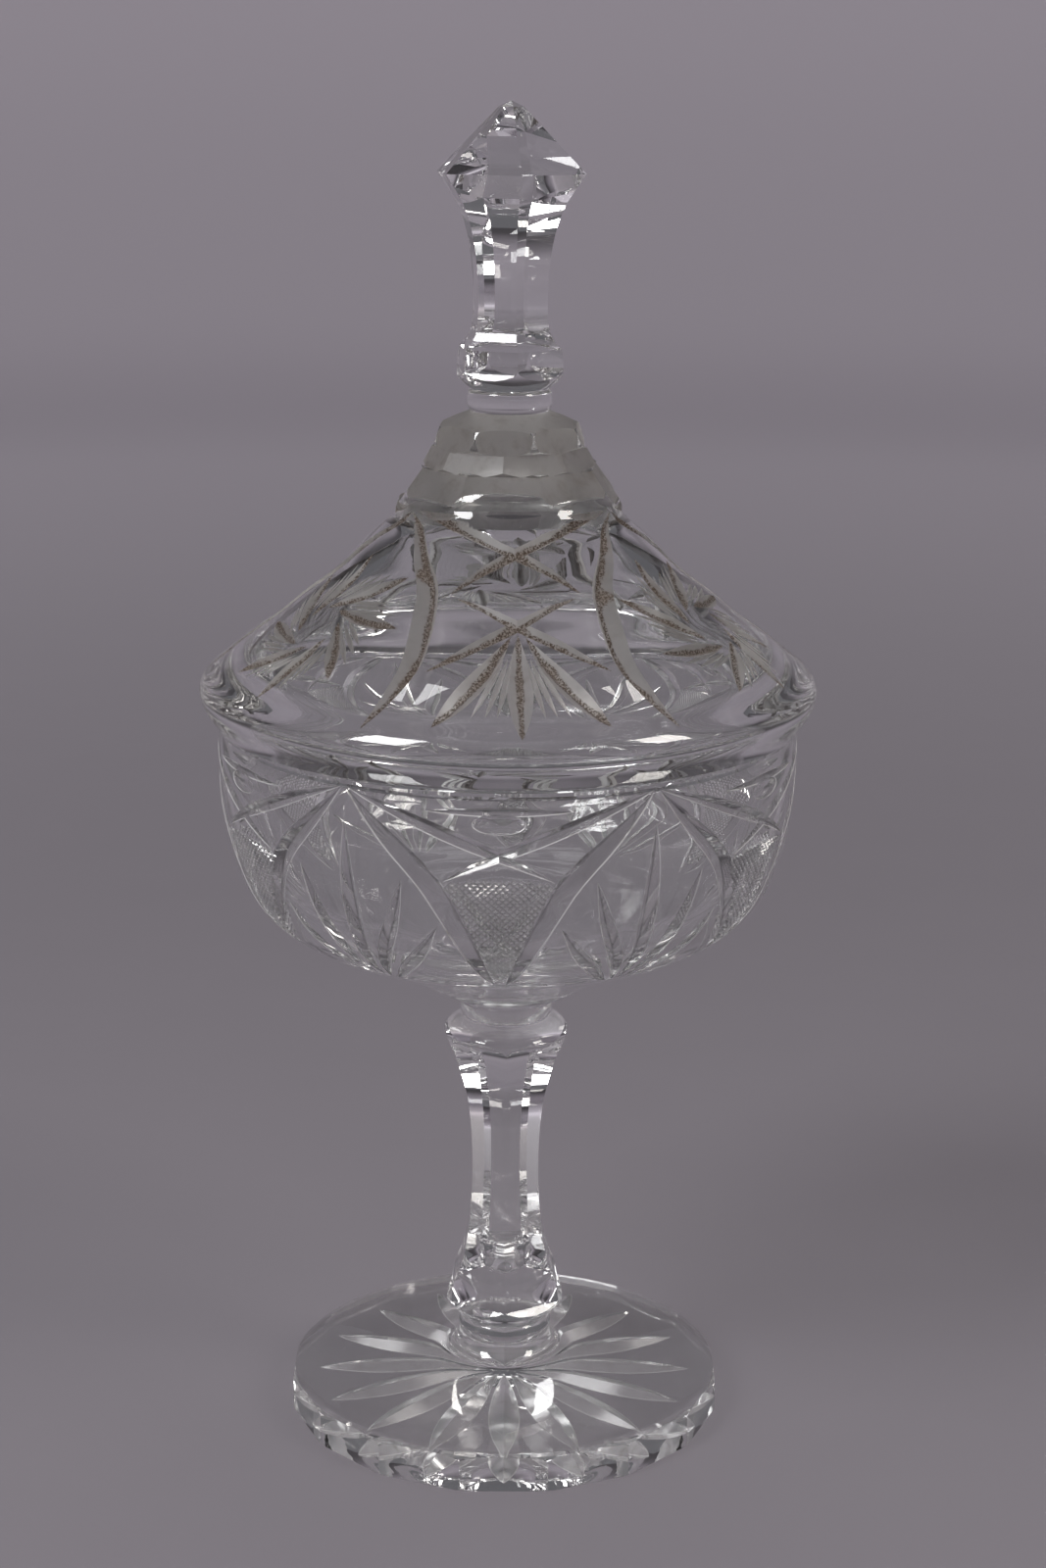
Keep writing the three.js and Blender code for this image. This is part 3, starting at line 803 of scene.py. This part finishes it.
# Cuts of a bowl panel, and of the fan between two panels, from the middle line of each: [angle, height].
# BOWL_TURN is where the front panel's middle line stands.
BOWL_TURN = -1.5
BOWL_PANELS = 6
bowl_arc = [(29.7, 196.2), (25.4, 190.8), (19.3, 183.4), (15.3, 178.4), (12.0, 173.2), (9.3, 167.0),
            (6.8, 160.0), (3.9, 150.6), (1.3, 142.2)]
bowl_mitre = [(30, 196.4), (21.5, 192.6), (14, 188.8), (6.6, 184.9), (0, 181.2), (-5.6, 177.7), (-10.8, 174)]
bowl_top_leaf = [(-14.5, 192.4), (0, 192.7), (14.5, 192.4)]
fan_middle = [(0, 142), (0, 165), (0, 188)]
fan_inner = [(1.5, 141.8), (5.4, 152.0), (8.7, 162.0), (11.6, 174.2)]
fan_outer = [(3.2, 141.4), (9.0, 147.2), (13.6, 153.2), (17.9, 161.4)]

# The hatched field of a panel: the size and depth of its diamonds, how deep their tips lie, the heights of
# its foot, middle and top, how far its top edge arches, half its greatest width and its way off the arcs
HATCH_SIZE = 1.84
HATCH_DEPTH = 0.8
HATCH_TIP = 0.06
HATCH_FOOT, HATCH_MIDDLE, HATCH_TOP = 144.6, 160.0, 173.0
HATCH_ARCH = 2.2
HATCH_REACH = 14
HATCH_MARGIN = 0.9

# Rows and columns of diamonds tried on each side of the field's middle, more than it has room for
HATCH_ROWS = 40
HATCH_COLUMNS = 12

# The oval print under the rim: its height, and half its width, height and depth
PRINT_HEIGHT = 189.6
PRINT_REACH = (7.0, 2.7, 1.1)


def hatch_diamonds():
    """Where the hatched field has its diamonds, across and up from its middle, between the two arcs."""
    arc_angles, arc_runs = path(bowl_skin, bowl_arc)
    order = np.argsort(arc_runs)
    foot_run, middle, top_run = (bowl_skin.run_at(z) for z in (HATCH_FOOT, HATCH_MIDDLE, HATCH_TOP))
    for row in range(-HATCH_ROWS, HATCH_ROWS + 1):
        up = row * HATCH_SIZE / 2
        run = middle + up
        arc = math.radians(np.interp(run, arc_runs[order], arc_angles[order])) * bowl_skin.radius(run)
        for column in range(-HATCH_COLUMNS, HATCH_COLUMNS + 1):
            across = (column + (row % 2) / 2) * HATCH_SIZE
            arched = top_run + HATCH_ARCH * (1 - (across / HATCH_REACH) ** 2)
            if foot_run < run < arched and abs(across) < min(arc - HATCH_MARGIN, HATCH_REACH):
                yield across, up


def hatch_field():
    """Fine crossed hatching between the arcs, as rows of little pyramids that stand in a shallow ground."""
    middle = bowl_skin.run_at(HATCH_MIDDLE)
    half = HATCH_SIZE / 2
    points, faces, edges, corners, lids = [], [], [], {}, {}

    def corner(across, up, deep):
        key = (round(across, 3), round(up, 3))
        if key not in corners:
            run = middle + up
            spot, out = bowl_skin.on(BOWL_TURN + math.degrees(across / bowl_skin.radius(run)), run)
            corners[key] = len(points)
            points.append(spot - out * deep)
        return corners[key]

    def diamond(across, up):
        ends = (across + half, up), (across, up + half), (across - half, up), (across, up - half)
        return [corner(*end, HATCH_DEPTH) for end in ends]

    def lid(number):
        if number not in lids:
            lids[number] = len(points)
            away = points[number] * (1, 1, 0)
            points.append(points[number] + away / np.linalg.norm(away) * (HATCH_DEPTH + LIFT))
        return lids[number]

    diamonds = list(hatch_diamonds())
    for across, up in diamonds:
        ring = diamond(across, up)
        tip = corner(across, up, HATCH_TIP)
        for a, b in zip(ring, ring[1:] + ring[:1]):
            faces.append((b, a, tip))
            edges.append((a, b))
    for across, up in diamonds:
        faces.append(tuple(lid(number) for number in diamond(across, up)))
    shared = set(edges)
    for a, b in edges:
        if (b, a) not in shared:
            faces.append((a, b, lid(b), lid(a)))
    return np.array(points), faces


def bowl():
    line = [(0, BOWL_BASE), (BOWL_JOINT, BOWL_BASE), *bowl_outside, *bowl_rim, *bowl_inside]
    piece = turned("bowl_glass", line, SIDES_BIG)
    blank_finishes(piece, cut_face, hatch_face)
    fan = BOWL_TURN + 180 / BOWL_PANELS

    def cut(name, rows, depth, bevel, turn=BOWL_TURN, **form):
        wheel_pass(piece, bowl_skin, name, rows, depth, bevel, BOWL_PANELS, turn, cut_face, **form)

    for side, hand in HANDS:
        cut(f"arc_{hand}", bowl_arc, depth=2.5, bevel=1.3, mirror=side, skew=-0.42)
        cut(f"mitre_{hand}", bowl_mitre, depth=1.6, bevel=1.15, mirror=side)
        cut(f"fan_inner_{hand}", fan_inner, depth=1.9, bevel=1.15, turn=fan, mirror=side)
        cut(f"fan_outer_{hand}", fan_outer, depth=1.7, bevel=1.15, turn=fan, mirror=side)
    cut("fan_middle", fan_middle, depth=2.0, bevel=1.25, turn=fan)
    cut("top_leaf", bowl_top_leaf, depth=0.9, bevel=1.35)
    cut_away(piece, joined("hatch", [hatch_field()]), BOWL_PANELS, hatch_face)
    cut_away(piece, thumbprint(), BOWL_PANELS, cut_face)
    applied(piece)
    return finished(piece, [(BOWL_BASE, BOWL_JOINT)], bowl_skin)


def thumbprint():
    """A shallow oval print under the rim."""
    spot, out = bowl_skin.on(BOWL_TURN, bowl_skin.run_at(PRINT_HEIGHT))
    out = Vector(out)
    across = out.cross((0, 0, 1)).normalized()
    up = across.cross(out).normalized()
    turn = Matrix([way * reach for way, reach in zip((across, up, out), PRINT_REACH)]).transposed().to_4x4()
    shape = bmesh.new()
    bmesh.ops.create_uvsphere(shape, u_segments=40, v_segments=20, radius=1)
    placed = Matrix.Scale(MM, 4) @ Matrix.Translation(spot) @ turn
    bmesh.ops.transform(shape, matrix=placed, verts=shape.verts)
    bmesh.ops.recalc_face_normals(shape, faces=shape.faces)
    mesh = bpy.data.meshes.new("print")
    shape.to_mesh(mesh)
    shape.free()
    return in_scene("print", mesh)


# Cuts of a cover panel, from the panel's middle line: [angle, height]. COVER_TURN is where the front panel's
# middle line stands.
COVER_TURN = 2.5
COVER_PANELS = 3
crescent = [(60, 256.8), (48, 252.4), (36.5, 246.4), (29.6, 241.2), (26.4, 236), (24.6, 230.4), (24.4, 224),
            (26, 219), (29.4, 211.6)]
upper_mitre = [(45, 256.0), (22, 252.8), (0, 248.4), (-12, 244.6), (-22.5, 239.6)]
lower_mitre = [(20, 239.2), (10, 236.8), (0, 233.3), (-11, 228.8), (-21.5, 223.8)]
cover_middle_leaf = [(0, 232.4), (0, 222), (0, 211.4)]
cover_side_leaf = [(1.6, 232), (8.6, 223.4), (16.4, 213.4)]
cover_rays = [[(1.7 * share, 227.5), (share * 4.6, 215.4)] for share in (1.0, 1.5, 2.07)]
neck_leaf = [(27.5, 257.2), (41, 256.4), (54.5, 257.2)]

# The whirling stars between the panels: angle and height of the hub, arms and their turn
STAR_HUB = (62.5, 229.0)
STAR_ARMS = 8
STAR_TURN = 10

# A star's leaves and fine rays: how far from the hub they start and end, how far the start leans from the end,
# and their depth and bevel. The rays stand at bends from their leaf, and each is shorter by RAY_STEPS at its
# start and end than the one before.
LEAF_REACH, LEAF_LEAN, LEAF_DEPTH, LEAF_BEVEL = (7.0, 26.0), 64, 1.5, 1.45
RAY_REACH, RAY_LEAN, RAY_DEPTH, RAY_BEVEL = (9.0, 23.5), 34, 0.75, 1.0
RAY_BENDS = (12, 20, 28)
RAY_STEPS = (0.6, 1.8)

# Flats ground round the neck in staggered rows: [lower edge, upper edge, turn in flats, width, depth, dip of
# the lower edge towards the sides]
NECK_FLATS = 8
NECK_TURN = -4.2
NECK_LIFT = 7.0
neck_rows = [(271.8, 279.0, 0, 17, 1.35, 0), (267.0, 272.4, 0.5, 19, 1.6, 0), (263.3, 267.8, 0, 23, 2.0, 4.6)]


def star_spot(way, reach, bend):
    """A place round the hub of a star, in millimetres across and up, at a bend from an arm's way."""
    angle = math.radians(way) + math.radians(bend)
    return reach * math.cos(angle), reach * math.sin(angle)


def star_path(start, end):
    """Angles and runs of a straight cut of a star, between two places round its hub."""
    count = points_along(math.dist(start, end))
    across, up = np.linspace(start[0], end[0], count), np.linspace(start[1], end[1], count)
    runs = cover_skin.run_at(STAR_HUB[1]) + up
    return STAR_HUB[0] + np.degrees(across / cover_skin.radius(runs)), runs


def star_cuts():
    """Broad leaves that lean round the hub, each with fine rays on one side, as start, end, depth and bevel,
    in sets whose cuts stay apart."""
    sets = {}
    for arm in range(STAR_ARMS):
        way = arm * 360 / STAR_ARMS + STAR_TURN
        start, end = star_spot(way, LEAF_REACH[0], LEAF_LEAN), star_spot(way, LEAF_REACH[1], 0)
        sets.setdefault(f"star_leaves_{arm % 2}", []).append((start, end, LEAF_DEPTH, LEAF_BEVEL))
        for k, bend in enumerate(RAY_BENDS):
            start = star_spot(way, RAY_REACH[0] + RAY_STEPS[0] * k, bend + RAY_LEAN)
            end = star_spot(way, RAY_REACH[1] - RAY_STEPS[1] * k, bend)
            sets.setdefault(f"star_rays_{k}", []).append((start, end, RAY_DEPTH, RAY_BEVEL))
    return sets


def neck_flat(angle, low, high, wide, depth):
    """A flat ground across the neck, as a thin block laid on it."""
    spot, out = cover_skin.on(angle, cover_skin.run_at((low + high) / 2))
    across = np.cross(out, (0, 0, 1))
    across /= np.linalg.norm(across)
    up = np.cross(across, out)
    tall = (high - low) / up[2] / 2
    corners = [(-1, -1), (1, -1), (1, 1), (-1, 1)]
    return lofted([[spot + out * lift + across * x * wide / 2 + up * y * tall for x, y in corners]
                   for lift in (-depth, NECK_LIFT)])


def neck_cutters():
    """The flats of each row, every other one together so that none overlap."""
    for row, (low, high, offset, wide, depth, dip) in enumerate(neck_rows):
        for odd in range(2):
            blocks = []
            for k in range(odd, NECK_FLATS, 2):
                angle = NECK_TURN + (k + offset) * 360 / NECK_FLATS
                dipped = low - dip * math.sin(math.radians(angle)) ** 2
                blocks.append(neck_flat(angle, dipped, high, wide, depth))
            yield joined(f"neck_flats_{row}_{odd}", blocks)


def ground_crown(piece, height, finish):
    """Leaves the top of the neck as ground as the flats round it."""
    number = piece.data.materials.find(finish.name)
    for face in piece.data.polygons:
        if face.center.z > height * MM:
            face.material_index = number


def cover():
    line = [*cover_inside, *cover_flange, *cover_dome, *cover_neck, *cover_crown, (COVER_JOINT, COVER_TOP),
            (0, COVER_TOP)]
    piece = turned("cover_glass", line, SIDES_BIG)
    blank_finishes(piece, satin, satin_plain)

    def cut(name, rows, depth, bevel, finish=satin, **form):
        wheel_pass(piece, cover_skin, name, rows, depth, bevel, COVER_PANELS, COVER_TURN, finish, **form)

    for cutter in neck_cutters():
        cut_away(piece, cutter, 1, satin_plain)
    for side, hand in HANDS:
        cut(f"crescent_{hand}", crescent, depth=2.3, bevel=1.4, mirror=side, skew=-0.38, peak=0.9)
        cut(f"upper_{hand}", upper_mitre, depth=1.3, bevel=1.35, mirror=side, skew=0.35)
        cut(f"lower_{hand}", lower_mitre, depth=1.3, bevel=1.4, mirror=side, skew=0.4)
        cut(f"side_leaf_{hand}", cover_side_leaf, depth=1.9, bevel=1.6, mirror=side, peak=1.2)
        cut(f"neck_leaf_{hand}", neck_leaf, depth=0.8, bevel=1.5, finish=satin_plain, mirror=side)
        for k, ray in enumerate(cover_rays):
            cut(f"ray_{k}_{hand}", ray, depth=0.85, bevel=0.95, mirror=side, soiled=False)
    cut("middle_leaf", cover_middle_leaf, depth=2.0, bevel=1.65, peak=1.2)
    for name, cuts in star_cuts().items():
        bodies = []
        for start, end, depth, bevel in cuts:
            body, low = groove(*cover_skin.on(*star_path(start, end)), depth, bevel)
            bodies.append(body)
            if name.startswith("star_leaves"):
                cover_skin.remember(low, COVER_PANELS)
        cut_away(piece, joined(name, bodies), COVER_PANELS, satin)
    applied(piece)
    ground_crown(piece, CROWN_FOOT, satin_plain)
    return finished(piece, [(COVER_TOP, COVER_JOINT)], cover_skin)


def dress(piece, body, node, slot):
    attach(piece, body)
    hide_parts(node)


for piece, body, node, slot in (
    (foot(), "base", "foot", "clear_crystal"),
    (collar("foot_collar"), "base", "foot_collar", "clear_crystal"),
    (stem(), "base", "stem", "clear_crystal"),
    (collar("bowl_collar"), "base", "bowl_collar", "clear_crystal"),
    (bowl(), "base", "bowl", "clear_crystal"),
    (cover(), "lid", "cover", "cut_crystal"),
    (collar("cover_collar"), "lid", "cover_collar", "clear_crystal"),
    (finial(), "lid", "finial", "clear_crystal"),
):
    dress(piece, body, node, slot)


# Studio

# The paper lies just under the foot and curves up all round, as rows of (radius, height)
FLOOR = -0.2
PAPER_SIDES = 96
paper_line = smooth([(0, 0), (900, 0), (1900, 0), (2500, 60), (2900, 330), (3080, 800), (3120, 1300)], 60)

# Tones of the paper near the object, and of its wall low down and high up, with the radii and the heights
# between which they change. They differ as painted light and shade: darker near the object, paler towards the
# wall where the soft boxes' light falls off, and darker again up the wall.
NEAR_SHADE_TONES = ((0.196, 0.180, 0.203, 1), (0.214, 0.196, 0.221, 1))
WALL_LIGHT_AND_SHADE_TONES = ((0.560, 0.517, 0.578, 1), (0.06, 0.055, 0.062, 1))
NEAR_TO_WALL = (400, 2300)
LOW_TO_HIGH = (520, 1150)

# Where the soft boxes point, in metres, and the tones of the lights
AIM = Vector((0, 0, 0.19))
WARM_LIGHT = (1.0, 0.96, 0.91)
ROOM_COLOUR = (0.78, 0.77, 0.84, 1)
ROOM_STRENGTH = 0.14

# The photograph's view, fitted to the circles of the foot, the collars and the cover: its place in metres,
# the lens in millimetres for a frame of 36 mm, and its turns in radians
VIEW_PLACE = (0, -0.7505, 0.376)
VIEW_LENS = 65.68
VIEW_PITCH, VIEW_YAW, VIEW_ROLL = 0.25589, 0.00558, 0.00709


def pale_paper():
    """Faintly mottled paper, with painted light and shade: darker near the object, paler towards the wall, and
    darker up the wall.
    """
    f = Finish("pale_paper")
    near = f.blend(f.noise(60, 3) * 0.5, *NEAR_SHADE_TONES)
    wall = f.blend(f.layer("height").rises(*LOW_TO_HIGH), *WALL_LIGHT_AND_SHADE_TONES)
    tone = f.blend(f.layer("reach").rises(*NEAR_TO_WALL), near, wall)
    return f.done(f.surface(Base_Color=tone, Roughness=0.65))


def paper_sweep():
    """A pale paper floor that curves up all round, well outside the object."""
    angle = np.arange(PAPER_SIDES) * 360 / PAPER_SIDES
    points = np.vstack([place(0, 0, FLOOR), *[place(r, angle, z + FLOOR) for r, z in paper_line[1:]]])
    faces = []
    for k in range(PAPER_SIDES):
        n = (k + 1) % PAPER_SIDES
        faces.append((0, 1 + k, 1 + n))
        for i in range(len(paper_line) - 2):
            low, high = 1 + i * PAPER_SIDES, 1 + (i + 1) * PAPER_SIDES
            faces.append((low + k, high + k, high + n, low + n))
    sweep = make_mesh("paper_sweep", points, faces)
    smooth_faces(sweep.data)
    keep_values(sweep.data, "reach", np.hypot(points[:, 0], points[:, 1]))
    keep_values(sweep.data, "height", points[:, 2])
    sweep.data.materials.append(pale_paper())


def soft_box(name, azimuth, elevation, distance, size, power, colour=(1, 1, 1)):
    """A light of width and height, at an azimuth from the front and an elevation over AIM."""
    light = bpy.data.lights.new(name, "AREA")
    light.shape = "RECTANGLE"
    light.size, light.size_y = size
    light.energy = power
    light.color = colour
    box = in_scene(name, light)
    a, e = math.radians(azimuth), math.radians(elevation)
    way = Vector((math.sin(a) * math.cos(e), -math.cos(a) * math.cos(e), math.sin(e)))
    box.location = AIM + distance * way
    box.rotation_euler = (box.location - AIM).to_track_quat("Z", "Y").to_euler()
    box.visible_camera = False


def dim_room():
    world = bpy.data.worlds.new("dim_room")
    bpy.context.scene.world = world
    world.use_nodes = True
    background = world.node_tree.nodes["Background"]
    background.inputs["Color"].default_value = ROOM_COLOUR
    background.inputs["Strength"].default_value = ROOM_STRENGTH


def camera():
    data = bpy.data.cameras.new("view")
    data.lens = VIEW_LENS
    data.sensor_width = 36
    data.clip_start, data.clip_end = 0.02, 50
    sin_yaw, cos_yaw = math.sin(VIEW_YAW), math.cos(VIEW_YAW)
    sin_pitch, cos_pitch = math.sin(VIEW_PITCH), math.cos(VIEW_PITCH)
    ahead = Vector((sin_yaw * cos_pitch, cos_yaw * cos_pitch, -sin_pitch))
    flat = Vector((cos_yaw, -sin_yaw, 0))
    up = Vector((sin_yaw * sin_pitch, cos_yaw * sin_pitch, cos_pitch))
    right = math.cos(VIEW_ROLL) * flat + math.sin(VIEW_ROLL) * up
    top = math.cos(VIEW_ROLL) * up - math.sin(VIEW_ROLL) * flat
    eye = in_scene("view", data)
    eye.matrix_world = Matrix.Translation(VIEW_PLACE) @ Matrix((right, top, -ahead)).transposed().to_4x4()
    bpy.context.scene.camera = eye


paper_sweep()
soft_box("left_box", azimuth=-52, elevation=40, distance=2.3, size=(0.75, 1.1), power=48)
soft_box("right_box", azimuth=64, elevation=34, distance=2.3, size=(0.6, 1.0), power=29, colour=WARM_LIGHT)
soft_box("back_box", azimuth=172, elevation=62, distance=2.4, size=(1.2, 0.8), power=4)
dim_room()
camera()

# Light crosses many faces of cut glass before it leaves, and a reflection inside the glass counts as glossy
cycles = bpy.context.scene.cycles
cycles.max_bounces = 28
cycles.transmission_bounces = 28
cycles.glossy_bounces = 28
cycles.diffuse_bounces = 3
cycles.caustics_refractive = False
cycles.caustics_reflective = False
bpy.context.scene.view_settings.view_transform = "Standard"
